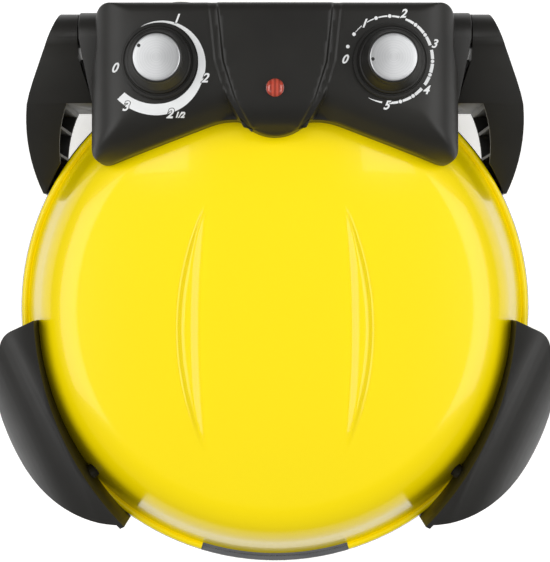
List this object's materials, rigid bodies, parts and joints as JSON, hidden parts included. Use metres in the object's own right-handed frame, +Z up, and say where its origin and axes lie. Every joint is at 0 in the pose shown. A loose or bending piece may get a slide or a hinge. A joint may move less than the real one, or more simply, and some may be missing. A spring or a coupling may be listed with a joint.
{
  "type": "pizza oven",
  "caption": "Round table-top electric pizza oven: low base with a stone plate, domed lid hinged at the back, control housing with knobs and a lamp.",
  "frame": {"origin": "on the table, under the middle of the whole oven seen from above", "axes": "+Z up, -Y to the front, +X to the user's right"},
  "size_m": [0.3686, 0.368, 0.167],
  "materials": {
    "yellow_enamel": "gloss",
    "black_plastic": "satin",
    "bright_steel": "polished",
    "steel": "satin",
    "stone": "matte",
    "rubber_foot": "matte",
    "white_ceramic": "matte",
    "white_plastic": "matte",
    "red_lens": "gloss",
    "wire_sheath": "satin"
  },
  "bodies": {
    "base": {"base_pan": "yellow_enamel", "lower_reflector": "bright_steel", "refractory_stone": "stone", "stone_tabs": "bright_steel", "lower_element": "steel", "lower_element_clips": "steel", "lower_element_insulators": "white_ceramic", "base_wiring": "wire_sheath", "base_handle_left": "black_plastic", "base_handle_right": "black_plastic", "base_screws": "steel", "feet": "rubber_foot", "foot_screws": "steel", "hinge_arm_left": "black_plastic", "hinge_arm_right": "black_plastic", "hinge_pin_left": "steel", "hinge_pin_right": "steel"},
    "lid": {"lid_dome": "yellow_enamel", "upper_reflector": "bright_steel", "vent_strip": "bright_steel", "upper_element": "steel", "upper_element_clips": "steel", "upper_element_insulators": "white_ceramic", "lid_handle_left": "black_plastic", "lid_handle_right": "black_plastic", "lid_handle_screws": "steel", "control_housing": "black_plastic", "control_tray": "black_plastic", "housing_screws": "steel", "dome_screws": "steel", "hinge_bushes": "steel", "lamp_lens": "red_lens", "lamp_body": "white_plastic", "thermostat": "steel", "thermostat_nut": "steel", "timer": "steel", "timer_nut": "steel", "timer_bell": "bright_steel", "terminal_block": "white_plastic", "lid_wiring": "wire_sheath", "cord_gland": "black_plastic"},
    "temp_knob": {"temp_knob_grip": "black_plastic", "temp_knob_cap": "bright_steel", "temp_shaft": "steel"},
    "timer_knob": {"timer_knob_grip": "black_plastic", "timer_knob_cap": "bright_steel", "timer_shaft": "steel"}
  },
  "joints": [
    {"name": "lid_hinge", "type": "hinge", "parent": "base", "child": "lid", "pos_m": [0, 0.1655, 0.105], "axis": [-1, 0, 0], "range_deg": [0, 100]},
    {"name": "temp_knob_turn", "type": "hinge", "parent": "lid", "child": "temp_knob", "pos_m": [-0.0725, 0.143, 0.147], "axis": [0, 0, 1], "range_deg": [-275, 42]},
    {"name": "timer_knob_turn", "type": "hinge", "parent": "lid", "child": "timer_knob", "pos_m": [0.0725, 0.143, 0.147], "axis": [0, 0, 1], "range_deg": [-285, 0]}
  ]
}
